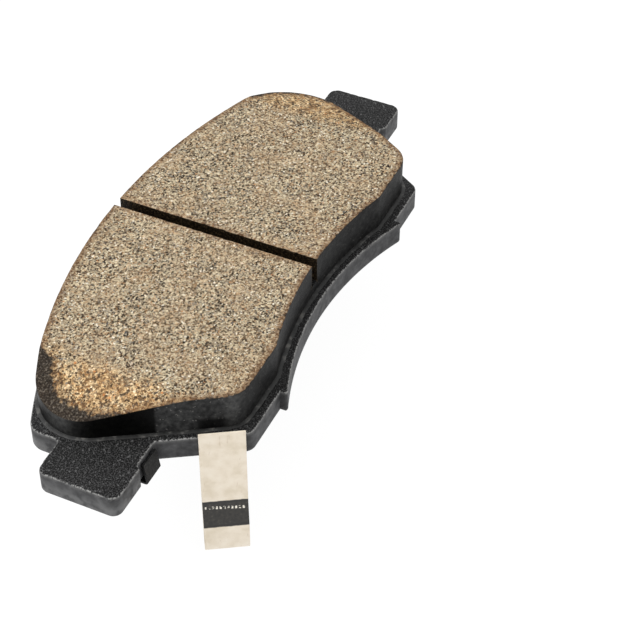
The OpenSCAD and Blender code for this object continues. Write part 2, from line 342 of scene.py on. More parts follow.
def makePiece(name, parts, smoothAngle=40, warp=None):
    # joins parts given in mm, welds points that coincide and makes the mesh object
    counts = np.cumsum([0] + [len(p[0]) for p in parts])
    points = np.concatenate([p[0] for p in parts])
    if warp:
        points = warp(points)
    rounded = np.round(points * meshing["weldPerMm"]).astype(np.int64)
    _, first, index = np.unique(rounded, axis=0, return_index=True, return_inverse=True)
    index = index.reshape(-1)
    faces = []
    for start, (_, partFaces) in zip(counts, parts):
        for face in partFaces:
            welded = index[np.asarray(face) + start]
            kept = welded[welded != np.roll(welded, 1)]
            if len(kept) > 2:
                faces.append(kept.tolist())
    mesh = bpy.data.meshes.new(name)
    mesh.from_pydata((points[first] * mm).tolist(), [], faces)
    mesh.validate()
    piece = addObject(name, mesh)
    finishShading(piece, smoothAngle)
    return piece


def finishShading(piece, smoothAngle=40):
    piece.data.shade_smooth()
    shell = bmesh.new()
    shell.from_mesh(piece.data)
    bmesh.ops.recalc_face_normals(shell, faces=shell.faces)
    limit = math.radians(smoothAngle)
    for edge in shell.edges:
        edge.smooth = edge.calc_face_angle(0.0) < limit
    shell.to_mesh(piece.data)
    shell.free()


def pointsOf(piece):
    flat = np.zeros(len(piece.data.vertices) * 3, np.float32)
    piece.data.vertices.foreach_get("co", flat)
    return flat.reshape(-1, 3).astype(float) / mm


def setValues(piece, name, values):
    attribute = piece.data.attributes.new(name, "FLOAT", "POINT")
    attribute.data.foreach_set("value", np.asarray(values, np.float32))


def nearest(points, ring):
    # distance of each x and y point from the nearest of the ring's points
    found = np.empty(len(points))
    chunk = meshing["nearestChunk"]
    for start in range(0, len(points), chunk):
        arm = points[start:start + chunk, None, :2] - ring[None, :, :2]
        found[start:start + chunk] = np.sqrt((arm ** 2).sum(axis=-1).min(axis=1))
    return found


def cadCopy(node, bevel):
    # a merged copy of a CAD node with its sharp edges eased
    piece = addObject(node + "_finished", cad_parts[node].data.copy())
    piece.data.materials.clear()
    shell = bmesh.new()
    shell.from_mesh(piece.data)
    bmesh.ops.remove_doubles(shell, verts=shell.verts, dist=meshing["mergeDistance"])
    flat = math.radians(meshing["flatAngle"])
    bmesh.ops.dissolve_limit(shell, angle_limit=flat, verts=shell.verts, edges=shell.edges)
    shell.to_mesh(piece.data)
    shell.free()
    if piece.data.attributes.get("custom_normal"):
        piece.data.attributes.remove(piece.data.attributes["custom_normal"])
    finishShading(piece, meshing["copySmoothAngle"])
    ease = piece.modifiers.new("ease", "BEVEL")
    ease.width = bevel * mm
    ease.segments = meshing["bevelSegments"]
    ease.limit_method = "ANGLE"
    ease.angle_limit = math.radians(meshing["bevelAngle"])
    ease.use_clamp_overlap = True
    return piece


block = {
    "outerRadius": 140.0,
    "height": 51.5,
    "hollowRadius": 100.0,
    "hollowDrop": 4.0,
    "halfLength": 63.2,
    "endAngle": 31.8,
    "outerCorner": 12.0,
    "innerCorner": 7.0,
    "flatCorner": 4.0,
    "slotWidth": 2.7,
    "slotDepth": 6.5,
    "chamferStart": 50.6,
    "chamferAngle": 19.0,
    "chamferSoftness": 0.25,   # mm of height over which the chamfer's crease is rounded
    "cell": 0.45,              # mm between points
    "outlineStep": 0.1,
    "arris": 0.14,
    "arrisWear": 0.16,
    "arrisLayers": ((0.9, 11, 0.7), (3.7, 12, 0.6)),
    "shoulder": 0.3,           # share of the arris at its middle row
    "wallWaver": 0.05,
    "waverLayersX": ((6.0, 3, 0.6), (1.6, 4, 0.4)),
    "waverLayersY": ((6.0, 5, 0.6), (1.6, 6, 0.4)),
    "mouthSteps": 6,
    "groundBand": 0.06,
    "slotWallBand": 0.3,
}
endAngle = math.radians(block["endAngle"])
endDir = np.array([-math.sin(endAngle), math.cos(endAngle)])
endOut = np.array([-math.cos(endAngle), -math.sin(endAngle)])
topY = block["height"] / 2
outerAxis = np.array([0, topY - block["outerRadius"]])
hollowAxis = np.array([0, -topY - block["hollowRadius"]])
flatY = -topY - block["hollowDrop"]


def endPoint(y, margin):
    # the point of the slanted end line, moved out by margin, at height y
    start = np.array([-block["halfLength"], 0]) + margin * endOut
    return start + endDir * (y - start[1]) / endDir[1]


def lineMeetsCircle(point, along, centre, radius):
    # the far root of |point + t along - centre| = radius
    offset = point - centre
    half = offset @ along
    return point + along * (-half + math.sqrt(half * half - offset @ offset + radius * radius))


def blockSides():
    # the left half's four sides in anticlockwise order: outer edge, end, inner edge and slot wall
    slotX = -block["slotWidth"] / 2
    outerEnd = lineMeetsCircle(endPoint(0, 0), endDir, outerAxis, block["outerRadius"])
    flatEndX = -math.sqrt(block["hollowRadius"] ** 2 - (flatY - hollowAxis[1]) ** 2)
    corners = [
        ((slotX, outerAxis[1] + math.sqrt(block["outerRadius"] ** 2 - slotX ** 2)), 0, outerAxis),
        (outerEnd, block["outerCorner"], None),
        (endPoint(flatY, 0), block["innerCorner"], None),
        ((flatEndX, flatY), block["flatCorner"], hollowAxis),
        ((slotX, hollowAxis[1] + math.sqrt(block["hollowRadius"] ** 2 - slotX ** 2)), 0, None),
    ]
    rounds, stretches = roundedOutline(corners, block["outlineStep"])
    outerHalf, innerHalf = len(rounds[1]) // 2, len(rounds[2]) // 2
    outer = np.concatenate([stretches[0], rounds[1][1:outerHalf + 1]])
    end = np.concatenate([rounds[1][outerHalf:], stretches[1][1:], rounds[2][1:innerHalf + 1]])
    inner = np.concatenate([rounds[2][innerHalf:], stretches[2][1:], rounds[3][1:], stretches[3][1:]])
    slot = stretches[4]
    longCount = round(np.linalg.norm(np.diff(outer, axis=0), axis=1).sum() / block["cell"])
    shortCount = round(np.linalg.norm(slot[-1] - slot[0]) / block["cell"])
    sides = (outer, longCount), (end, shortCount), (inner, longCount), (slot, shortCount)
    return [evenly(path, count) for path, count in sides]


outerSide, endSide, innerSide, slotSide = blockSides()
halfRing = np.concatenate([outerSide[:-1], endSide[:-1], innerSide[:-1], slotSide[:-1]])
mouth = np.linspace(0, 1, block["mouthSteps"] + 1)[:, None]
innerMouth = innerSide[-1] * (1 - mouth) + mirrored(innerSide)[0] * mouth
outerMouth = mirrored(outerSide)[-1] * (1 - mouth) + outerSide[0] * mouth
fullRing = np.concatenate([
    outerSide[:-1], endSide[:-1], innerSide[:-1], innerMouth[:-1],
    mirrored(innerSide)[:-1], mirrored(endSide)[:-1], mirrored(outerSide)[:-1], outerMouth[:-1],
])


def faceHeight(flat, top):
    # the ground face: flat, then sloping down past the chamfer's start, with the crease softened
    slope = math.tan(math.radians(block["chamferAngle"]))
    drop = (np.abs(flat[..., 0]) - block["chamferStart"]) * slope
    soft = block["chamferSoftness"]
    return top - (drop + np.sqrt(drop * drop + soft * soft)) / 2


def waver(points):
    # slow unevenness of a moulded wall: two sizes of value noise, moved in plan only
    shiftX = layeredNoise(points, block["waverLayersX"])
    shiftY = layeredNoise(points, block["waverLayersY"])
    return points + block["wallWaver"] * np.stack([shiftX, shiftY, np.zeros_like(shiftX)], axis=-1)


def wall(ring, lows, highs):
    # a wall on a closed ring between two heights for each point, in even rows
    rows = max(2, round(float(np.max(highs - lows)) / block["cell"]))
    share = np.linspace(0, 1, rows + 1)[:, None]
    z = lows * (1 - share) + highs * share
    return lift(np.broadcast_to(ring, (rows + 1,) + ring.shape), z)


def evenWall(ring, low, high):
    return grid(wall(ring, np.full(len(ring), low), np.full(len(ring), high)), closed=True)


def splitRing(ring):
    # a half ring's points as its four sides, each with both its ends
    cuts = np.cumsum([0, len(outerSide) - 1, len(endSide) - 1, len(innerSide) - 1, len(slotSide) - 1])
    loop = np.concatenate([ring, ring[:1]])
    return [loop[cuts[i]:cuts[i + 1] + 1] for i in range(4)]


def halfBlock(ring, floorZ, topZ, side):
    # wall, worn arris and ground face of one half above the slot's floor, shaped as the left one
    truePlace = lift(ring * np.array([-side, 1]), 0.0)
    wear = np.clip(layeredNoise(truePlace, block["arrisLayers"]), 0, 1)
    arris = block["arris"] + block["arrisWear"] * wear
    middle = arris * block["shoulder"]
    rim = inset(ring, arris)
    rimZ = faceHeight(rim, topZ)
    flank = wall(ring, np.full(len(ring), floorZ), rimZ - arris)
    shoulder = lift(inset(ring, middle), rimZ - middle)
    edge = np.stack([lift(ring, rimZ - arris), shoulder, lift(rim, rimZ)])
    outer, end, inner, slot = splitRing(rim)
    patch = coons(inner, outer[::-1], end[::-1], slot)
    face = lift(patch, faceHeight(patch, topZ))
    return [grid(flank, closed=True), grid(edge, closed=True), grid(face)]


def otherHalf(parts):
    flipX = np.array([-1, 1, 1])
    return [(points * flipX, [face[::-1] for face in faces]) for points, faces in parts]


skin = {
    "centre": (-51.03, 3.14),
    "nearWidth": 3.9,
    "farWidth": 1.3,
    "from": 84,       # degrees round the corner's centre
    "rise": 9,
    "widest": 135,
    "to": 240,
}


def skinDepth(points, gap):
    # how far a point lies inside the black skin at the outer corners: the skin's width rises fast
    # past the chamfer's start and falls off as 1 - t squared round the corner and along the end
    arm = np.stack([-np.abs(points[:, 0]) - skin["centre"][0], points[:, 1] - skin["centre"][1]])
    turn = np.degrees(np.arctan2(arm[1], arm[0])) % 360
    rise = fadeIn(turn, skin["from"], skin["rise"])
    fall = fadeIn(turn, skin["widest"], skin["to"] - skin["widest"])
    width = np.where(points[:, 0] < 0, skin["nearWidth"], skin["farWidth"])
    return width * rise * (1 - fall * fall) - gap


def makeFrictionBlock():
    base, top = level("friction_block", 0), level("friction_block", 1)
    slotFloor = top - block["slotDepth"]
    parts = halfBlock(halfRing, slotFloor, top, -1) + otherHalf(halfBlock(halfRing, slotFloor, top, 1))
    parts.append(evenWall(fullRing, base, slotFloor))
    across = np.linspace(0, 1, block["mouthSteps"] + 1)[:, None, None]
    floorFlat = slotSide[None] * (1 - across) + (slotSide * np.array([-1, 1]))[None] * across
    parts.append(grid(lift(floorFlat, slotFloor)))
    parts.append(lid(lift(fullRing, base), flip=True))
    piece = makePiece("frictionBlock", parts, warp=waver)
    points = pointsOf(piece)
    ground = points[:, 2] > faceHeight(points, top) - block["groundBand"]
    gap = nearest(points, fullRing)
    slotGap = np.abs(points[:, 0]) - block["slotWidth"] / 2
    setValues(piece, "ground", ground)
    setValues(piece, "rimGap", np.minimum(gap, np.abs(slotGap)))
    setValues(piece, "skin", skinDepth(points, gap))
    setValues(piece, "pastChamfer", np.abs(points[:, 0]) - block["chamferStart"])
    setValues(piece, "slotWall", (np.abs(slotGap) < block["slotWallBand"]) & ~ground)
    wallValues(piece)
    return piece


walls = {
    # each rounded corner's centre, with the angle and the spread in degrees of its painted sheen
    "rubs": (((-51.03, 3.14), 172, 20), ((-40.84, -22.77), 228, 16)),
    "sheenReach": 14,
    "sheenClimb": 6,           # mm of height over which the painted sheen grows
    "sheenFoot": 0.45,         # its share at the foot
    "crease": (-54.5, -13.7),
    "creaseWidth": 0.8,
    # where the painted dark reflection of the strip lies on the end wall above its tip
    "reflectionFrom": 8.3,         # mm along the end wall from the crease
    "reflectionFromFade": 2.0,
    "reflectionTo": 17.0,
    "reflectionToFade": 2.5,
    "reflectionHeight": 0.3,       # mm above the underlayer
    "reflectionHeightFade": 1.2,
    # the painted reflection past the crease, darker again round the inner corner
    "cornerFrom": 15,
    "cornerFade": 5,
    "cornerDark": 0.6,
}


def leftPlace(points):
    # the place in plan of each point, or of its mirror image, on the left half
    return np.stack([-np.abs(points[:, 0]), points[:, 1]], axis=-1)


def runFromCrease(points):
    # mm along the end wall from its upright crease, towards the inner edge
    return (leftPlace(points) - np.array(walls["crease"])) @ -endDir


def paintedCornerSheen(points):
    # painted sheen: a bell curve of the angle round each rounded corner, growing with height
    rub = np.zeros(len(points))
    for centre, middle, spread in walls["rubs"]:
        arm = leftPlace(points) - np.array(centre)
        turn = np.degrees(np.arctan2(arm[:, 1], arm[:, 0])) % 360
        near = np.abs(np.linalg.norm(arm, axis=1)) < walls["sheenReach"]
        rub = np.maximum(rub, np.exp(-((turn - middle) / spread) ** 2) * near)
    climb = fadeIn(points[:, 2], level("bond_layer", 1), walls["sheenClimb"])
    return rub * (walls["sheenFoot"] + (1 - walls["sheenFoot"]) * climb)


def paintedStripReflection(points):
    # a painted dark reflection of the strip on the end wall, fading out upwards just above the
    # underlayer
    run = runFromCrease(points)
    patch = fadeIn(run, walls["reflectionFrom"], walls["reflectionFromFade"])
    patch = patch * fadeOut(run, walls["reflectionTo"], walls["reflectionToFade"])
    top = level("underlayer", 1) + walls["reflectionHeight"]
    return patch * (1 - fadeIn(points[:, 2], top, walls["reflectionHeightFade"]))


def bareWall(points):
    # painted reflection: 0 on the outer stretch of each end wall, 1 past its upright crease, less
    # round the inner corner
    run = runFromCrease(points)
    corner = fadeIn(run, walls["cornerFrom"], walls["cornerFade"])
    return fadeIn(run, 0, walls["creaseWidth"]) * (1 - walls["cornerDark"] * corner)


def wallValues(piece):
    points = pointsOf(piece)
    # painted light on the wall's points: the corner sheen, the strip's dark reflection and the
    # stretches of reflection either side of the crease
    setValues(piece, "cornerSheen", paintedCornerSheen(points))
    setValues(piece, "soot", paintedStripReflection(points))
    setValues(piece, "bareWall", bareWall(points))


def roundPeg(centre, radius, low, high):
    circle = circlePoints(centre, radius)
    bottom, top = lift(circle, low), lift(circle, high)
    return [grid(np.stack([bottom, top]), closed=True), lid(bottom, flip=True), lid(top)]


underlayer = {
    "plugDiameter": 12.0,
    "plugX": 30.0,
    "plugBury": 0.2,
}


def makeUnderlayer():
    low, high = level("bond_layer", 1), level("underlayer", 1)
    parts = [evenWall(fullRing, low, high)]
    parts += [lid(lift(fullRing, low), flip=True), lid(lift(fullRing, high))]
    base, buried = level("underlayer", 0), low + underlayer["plugBury"]
    for side in (-1, 1):
        centre = (side * underlayer["plugX"], 0)
        parts += roundPeg(centre, underlayer["plugDiameter"] / 2, base, buried)
    piece = makePiece("mouldedUnderlayer", parts, warp=waver)
    wallValues(piece)
    return piece


flash = {
    "width": 0.85,
    "widest": 0.9,
    "ragged": 0.22,
    "raggedLayers": ((2.3, 21, 0.6), (0.8, 22, 0.5)),
    "roll": 0.1,
    "bury": 0.25,       # mm that the flash runs in under the block
    "lipShare": 0.55,   # height of the lip's edge, as a share of the layer
    "lipRoll": 0.7,
    "fall": 0.03,
}


def makeFlash():
    # the squeezed-out lip at the block's foot, its width wandering with value noise
    low, high = level("bond_layer", 0), level("bond_layer", 1)
    wander = layeredNoise(lift(fullRing, low), flash["raggedLayers"])
    width = np.minimum(flash["width"] + flash["ragged"] * wander, flash["widest"])
    outer = inset(fullRing, -width)
    nearOuter = inset(fullRing, -width + flash["roll"])
    inner = inset(fullRing, flash["bury"])
    lip = (high - low) * flash["lipShare"]
    rows = [lift(outer, low), lift(outer, low + lip * flash["lipRoll"]), lift(nearOuter, low + lip)]
    rows += [lift(fullRing, high - flash["fall"]), lift(inner, high)]
    parts = [grid(np.stack(rows), closed=True), lid(rows[0], flip=True), lid(rows[-1])]
    return makePiece("bondFlash", parts)


plate = {
    "outerLedge": 1.2,
    "ledge": 2.2,
    "innerLedge": 2.7,
    "hollowRadius": 84.0,
    "hollowLip": 2.2,
    "lugHalfWidth": 31.9,
    "lugHeight": 1.5,
    "lugCorner": 0.5,
    "corner": 3.0,
    "shoulder": 4.0,
    "shoulderX": -64.9,
    "earTop": 3.8,
    "earWidth": 19.5,
    "span": 149.4,
    "earCorner": 2.3,
    "recessDepth": 1.0,
    "recessLength": 7.2,
    "root": 1.0,
    "topRoll": 0.42,
    "backRoll": 0.6,
    "cell": 0.6,
    "shearTear": 0.35,
    "tearLayers": ((0.9, 31, 1), (0.35, 32, 0.5)),
    "tearRoll": 0.6,       # share of the tear that is added to the edge's round
    "tearFrom": 66,        # mm from the middle, on the ears
    "rollStep": 0.3,       # share of the back's chamfer at its middle row
    "wallRows": 7,
    "rollTurns": (30, 60),   # degrees round the top edge of its two middle rows
    "topBand": (0.5, 0.4),   # mm below the top face that count as top, and their fade
    "backBand": (0.4, 0.3),
    # the painted sheen on the sides, paler low down on the ears' ends and shoulders
    "sheenFrom": 62,
    "sheenBelow": 1.2,
    "sheenFade": 3,
    "sheenMost": 0.5,
    "fade": 2,             # mm over which the tear and the painted sheen set in
}


def plateRing():
    # the plate's outline, with ears, recesses and the lug on its inner edge
    outerRadius = block["outerRadius"] + plate["outerLedge"]
    shoulderX = plate["shoulderX"]
    lowEar = plate["earTop"] - plate["earWidth"]
    floorY = lowEar + plate["recessDepth"]
    rootX = endPoint(floorY, plate["ledge"])[0]
    rampX = rootX - plate["recessLength"]
    lowY = flatY - plate["innerLedge"]
    lugY = lowY - plate["lugHeight"]
    axis = np.array([0, -topY - plate["hollowLip"] - plate["hollowRadius"]])
    hollowEnd = (-math.sqrt(plate["hollowRadius"] ** 2 - (lugY - axis[1]) ** 2), lugY)
    shoulderY = outerAxis[1] + math.sqrt(outerRadius ** 2 - shoulderX ** 2)
    topMid = (0, topY + plate["outerLedge"])
    tip = -plate["span"] / 2
    corners = [
        (topMid, 0, outerAxis),
        ((shoulderX, shoulderY), plate["shoulder"], None),
        ((shoulderX, plate["earTop"]), plate["root"], None),
        ((tip, plate["earTop"]), plate["earCorner"], None),
        ((tip, lowEar), plate["earCorner"], None),
        ((rampX - plate["recessDepth"], lowEar), 0, None),
        ((rampX, floorY), 0, None),
        ((rootX, floorY), plate["root"], None),
        (endPoint(lowY, plate["ledge"]), plate["corner"], None),
        ((-plate["lugHalfWidth"], lowY), 0, None),
        ((-plate["lugHalfWidth"], lugY), plate["lugCorner"], None),
        (hollowEnd, 0, axis),
        ((0, axis[1] + plate["hollowRadius"]), 0, None),
    ]
    rounds, stretches = roundedOutline(corners, plate["cell"])
    path = [topMid]
    for i in range(len(corners) - 1):
        path = np.concatenate([path, rounds[i][1:] if i else rounds[i][:0], stretches[i][1:]])
    path = path[np.concatenate([[True], np.linalg.norm(np.diff(path, axis=0), axis=1) > 1e-6])]
    return np.concatenate([path[:-1], mirrored(path)[:-1]])


def capLoops(name, parts, low, high):
    # joins a plate's outer wall and its hole walls, then fills the flat between their rims
    piece = makePiece(name, parts)
    shell = bmesh.new()
    shell.from_mesh(piece.data)
    for z in (low, high):
        border = [e for e in shell.edges if e.is_boundary]
        rim = [e for e in border if all(abs(v.co.z / mm - z) < 1e-3 for v in e.verts)]
        bmesh.ops.triangle_fill(shell, use_beauty=True, use_dissolve=False, edges=rim)
    shell.to_mesh(piece.data)
    shell.free()
    finishShading(piece)
    return piece


rivet = {
    "out": -7.5,
    "shank": 4.0,
    "setHeight": 1.0,
    "play": 0.05,
}
strip = {
    "place": (-49.0938, -26.9257),
    "width": 10.2,
    "thickness": 0.5,
    "footStart": -13.0,
    "footEnd": -2.0,
    "footBend": 0.75,
    "legOut": -1.25,
    "foldZ": -26.3,
    "foldRadius": 1.85,
    "stepLow": -19.8,
    "stepHigh": -12.9,
    "bladeOut": 0.85,
    "tip": 8.8,
    "edgeRound": 0.16,
    "stepEase": 1.4,
    "easeSteps": 6,
    "cell": 0.35,
    "bendStep": 0.12,
    "foldStep": 0.2,
    "acrossSteps": 21,
    "edgeSteps": 3,
    "smoothAngle": 50,
    "nowhere": -60,      # the height given to the foot and leg, which have no dark band
    "blendOut": (-1.0, 0.6),   # from the leg to the far side of the fold
}
stripOut = endOut
stripAlong = -endDir


def stripPoint(out):
    return np.array(strip["place"]) + out * stripOut


def plateRows(ring, low, high):
    # the outer wall's rows: the back's chamfer, the sheared side and the rolled and torn top edge
    place = lift(ring, 0.0)
    onEar = fadeIn(np.abs(ring[:, 0]), plate["tearFrom"], plate["fade"])
    torn = np.clip(layeredNoise(place, plate["tearLayers"]), 0, 1)
    tear = plate["shearTear"] * onEar * torn
    roll = plate["topRoll"] + tear * plate["tearRoll"]
    back = plate["backRoll"]
    step = back * plate["rollStep"]
    rows = [lift(inset(ring, back), low), lift(inset(ring, step), low + step), lift(ring, low + back)]
    bodyLow, bodyHigh = low + back, high - roll - tear
    for share in np.linspace(0, 1, plate["wallRows"] + 1)[1:]:
        rows.append(lift(ring, bodyLow * (1 - share) + bodyHigh * share))
    for turn in np.radians(plate["rollTurns"]):
        climb = bodyHigh + (high - bodyHigh) * math.sin(turn)
        rows.append(lift(inset(ring, roll * (1 - math.cos(turn))), climb))
    return rows + [lift(inset(ring, roll), high)]


def makePlate():
    low, high = level("backing_plate", 0), level("backing_plate", 1)
    ring = plateRing()
    parts = [grid(np.stack(plateRows(ring, low, high)), closed=True)]
    for side in (-1, 1):
        hole = circlePoints((side * underlayer["plugX"], 0), underlayer["plugDiameter"] / 2, -1)
        parts.append(grid(np.stack([lift(hole, low), lift(hole, high)]), closed=True))
    shank = rivet["shank"] / 2 + rivet["play"]
    steps = [(shank, low), (shank, high - rivet["setHeight"]), (shank + rivet["setHeight"], high)]
    bore = [lift(circlePoints(stripPoint(rivet["out"]), r, -1), z) for r, z in steps]
    parts.append(grid(np.stack(bore), closed=True))
    piece = capLoops("backingPlate", parts, low, high)
    plateValues(piece, ring, low, high)
    return piece


def plateValues(piece, ring, low, high):
    # where the plate is flat, near its rim, and painted paler low down on the ears' ends and shoulders
    # as a painted sheen
    points = pointsOf(piece)
    height = points[:, 2]
    setValues(piece, "rimGap", nearest(points, ring))
    onTop = fadeIn(height, high - plate["topBand"][0], plate["topBand"][1])
    onBack = fadeOut(height, low + plate["backBand"][0], plate["backBand"][1])
    setValues(piece, "top", np.maximum(onTop, onBack))
    onEnd = fadeIn(np.abs(points[:, 0]), plate["sheenFrom"], plate["fade"])
    lowDown = fadeOut(height, high - plate["sheenBelow"], plate["sheenFade"])
    setValues(piece, "rub", onEnd * lowDown * plate["sheenMost"])


def easedPath(corners, ease, step):
    # a path whose corners are each replaced by a quadratic curve that starts and ends at ease from it
    corners = np.array(corners, float)
    path = [corners[0]]
    for before, here, after in zip(corners[:-2], corners[1:-1], corners[2:]):
        start = here + (before - here) / np.linalg.norm(before - here) * ease
        end = here + (after - here) / np.linalg.norm(after - here) * ease
        t = np.linspace(0, 1, strip["easeSteps"] + 1)[:, None]
        path.extend((1 - t) ** 2 * start + 2 * t * (1 - t) * here + t ** 2 * end)
    path.append(corners[-1])
    dense = [np.array(path[0])[None]]
    for a, b in zip(path[:-1], path[1:]):
        pieces = max(1, math.ceil(np.linalg.norm(b - a) / step))
        dense.append(a + (b - a) * np.linspace(0, 1, pieces + 1)[1:, None])
    return np.concatenate(dense)


def makeStrip():
    # the strip's section, a thin rounded bar, carried along foot, leg, fold and blade
    s = strip
    footZ = level("indicator_foot", 1) - s["thickness"] / 2
    bendAt = np.array([s["footEnd"], footZ - s["footBend"]])
    foot = easedPath([(s["footStart"], footZ), (s["footEnd"], footZ)], 0, s["cell"])[:-1]
    bendEnd = bendAt + [s["footBend"], 0]
    bend = arcPoints(bendAt, np.array([s["footEnd"], footZ]), bendEnd, -1, s["bendStep"])
    foldAt = np.array([s["legOut"] + s["foldRadius"], s["foldZ"]])
    leg = easedPath([bend[-1], (s["legOut"], s["foldZ"])], 0, s["cell"])[1:-1]
    foldEnd = foldAt + [s["foldRadius"], 0]
    fold = arcPoints(foldAt, np.array([s["legOut"], s["foldZ"]]), foldEnd, 1, s["foldStep"])
    step = [(foldEnd[0], s["stepLow"]), (s["bladeOut"], s["stepHigh"])]
    blade = easedPath([foldEnd] + step + [(s["bladeOut"], s["tip"])], s["stepEase"], s["cell"])[1:]
    path = np.concatenate([foot, bend, leg, fold, blade])
    tangent = np.gradient(path, axis=0)
    tangent = tangent / np.linalg.norm(tangent, axis=1)[:, None]
    normal = np.stack([-tangent[:, 1], tangent[:, 0]], axis=-1)
    halfW, halfT, r = s["width"] / 2, s["thickness"] / 2, s["edgeRound"]
    turns = np.radians(np.linspace(0, 90, s["edgeSteps"] + 1))
    corner = np.stack([halfW - r + r * np.cos(turns), halfT - r + r * np.sin(turns)], axis=-1)
    across = np.linspace(halfW - r, -(halfW - r), s["acrossSteps"] + 1)[1:-1]
    top = np.stack([across, np.full_like(across, halfT)], axis=-1)
    upper = np.concatenate([corner, top, (corner * [-1, 1])[::-1]])
    section = np.concatenate([upper, -upper])
    outZ = path[:, None, :] + normal[:, None, :] * section[None, :, 1:2]
    flat = np.array(s["place"]) + outZ[..., :1] * stripOut + section[None, :, :1] * stripAlong
    points = np.concatenate([flat, outZ[..., 1:]], axis=-1)
    parts = [grid(points, closed=True), lid(points[0]), lid(points[-1], flip=True)]
    piece = makePiece("wearIndicator", parts, s["smoothAngle"])
    placed = pointsOf(piece)
    arm = placed[:, :2] - np.array(s["place"])
    onBlade = arm @ stripOut > s["legOut"] + s["foldRadius"]
    setValues(piece, "bladeHeight", np.where(onBlade, placed[:, 2], s["nowhere"]))
    setValues(piece, "across", arm @ stripAlong)
    return piece


frictionBlock = makeFrictionBlock()
mouldedUnderlayer = makeUnderlayer()
bondFlash = makeFlash()
print("block, underlayer and flash made")
backingPlate = makePlate()
wearIndicator = makeStrip()
bevels = {"shim": 0.07, "shim_outer_coat": 0.06, "indicator_rivet": 0.12}   # mm
shimSheet, shimOuterCoat, rivetHead = (cadCopy(node, bevel) for node, bevel in bevels.items())
print("plate, indicator and shim made")


class Value:
    # a socket that takes part in sums
    def __init__(self, finish, socket):
        self.finish = finish
        self.socket = socket

    def math(self, operation, *others):
        inputs = dict(enumerate((self,) + others))
        return self.finish.node("Math", {"operation": operation}, inputs)

    def __add__(self, other):
        return self.math("ADD", other)

    def __sub__(self, other):
        return self.math("SUBTRACT", other)

    def __mul__(self, other):
        return self.math("MULTIPLY", other)

    def __rsub__(self, other):
        return self.finish.node("Math", {"operation": "SUBTRACT"}, {0: other, 1: self})

    __radd__ = __add__
    __rmul__ = __mul__

    def ramp(self, low, high):
        # 0 below low, 1 above high, smooth between
        settings = {"interpolation_type": "SMOOTHSTEP"}
        inputs = {"Value": self, "From Min": low, "From Max": high}
        return self.finish.node("MapRange", settings, inputs)

    def above(self, limit):
        return self.math("GREATER_THAN", limit)


class Finish:
    # a material with its Principled shader, and one method that makes every other node
    def __init__(self, name, **constants):
        self.material = bpy.data.materials.new(name)
        self.material.use_nodes = True
        self.tree = self.material.node_tree
        self.shader = self.tree.nodes["Principled BSDF"]
        for socket, value in constants.items():
            self.shader.inputs[socket].default_value = value
        place = self.node("TexCoord", output="Object")
        self.place = self.node("VectorMath", {"operation": "SCALE"}, {0: place, "Scale": 1 / mm})

    def node(self, kind, settings=None, inputs=None, output=0):
        made = self.tree.nodes.new("ShaderNode" + kind)
        for key, value in (settings or {}).items():
            if key == "stops":
                self.setStops(made.color_ramp, value)
            elif key == "interpolation":
                made.color_ramp.interpolation = value
            else:
                setattr(made, key, value)
        for key, value in (inputs or {}).items():
            if isinstance(value, Value):
                self.tree.links.new(value.socket, made.inputs[key])
            else:
                made.inputs[key].default_value = value
        return Value(self, made.outputs[output])

    def setStops(self, ramp, stops):
        # each stop is its place from 0 to 1 and its red, green and blue as 0 to 255 screen values
        while len(ramp.elements) < len(stops):
            ramp.elements.new(1.0)
        for element, (position, colour) in zip(ramp.elements, stops):
            element.position = position
            element.color = tone(*colour)

    def colourRamp(self, value, stops, interpolation="LINEAR"):
        return self.node("ValToRGB", {"stops": stops, "interpolation": interpolation}, {"Fac": value})

    def noise(self, perMm, detail=2.0, at=None, output=0):
        inputs = {"Vector": at or self.place, "Scale": perMm, "Detail": detail}
        return self.node("TexNoise", None, inputs, output)

    def cells(self, perMm, output, at=None, randomness=1.0):
        inputs = {"Vector": at or self.place, "Scale": perMm, "Randomness": randomness}
        return self.node("TexVoronoi", None, inputs, output)

    def channel(self, colour, name):
        return self.node("SeparateColor", None, {"Color": colour}, name)

    def mix(self, share, first, second, blend="MIX"):
        settings = {"data_type": "RGBA", "blend_type": blend}
        return self.node("Mix", settings, {0: share, 6: first, 7: second}, 2)

    def attribute(self, name):
        return self.node("Attribute", {"attribute_name": name}, None, "Fac")

    def bent(self, perMm, amount):
        # the place in mm, pushed about by noise
        cloud = self.noise(perMm, 2.0, output="Color")
        shift = self.node("VectorMath", {"operation": "SUBTRACT"}, {0: cloud, 1: (0.5, 0.5, 0.5)})
        push = self.node("VectorMath", {"operation": "SCALE"}, {0: shift, "Scale": amount})
        return self.node("VectorMath", {"operation": "ADD"}, {0: self.place, 1: push})

    def finish(self, colour, roughness=None, height=None, depth=0.05, strength=1.0):
        self.connect("Base Color", colour)
        if roughness is not None:
            self.connect("Roughness", roughness)
        if height is not None:
            inputs = {"Height": height, "Distance": depth * mm, "Strength": strength}
            self.connect("Normal", self.node("Bump", None, inputs))
        return self.material

    def connect(self, name, value):
        self.tree.links.new(value.socket, self.shader.inputs[name])


def tone(red, green, blue):
    # a colour given as 0 to 255 screen values, as the shader's linear light
    parts = [c / 255 for c in (red, green, blue)]
    return tuple(c / 12.92 if c <= 0.04045 else ((c + 0.055) / 1.055) ** 2.4 for c in parts) + (1.0,)


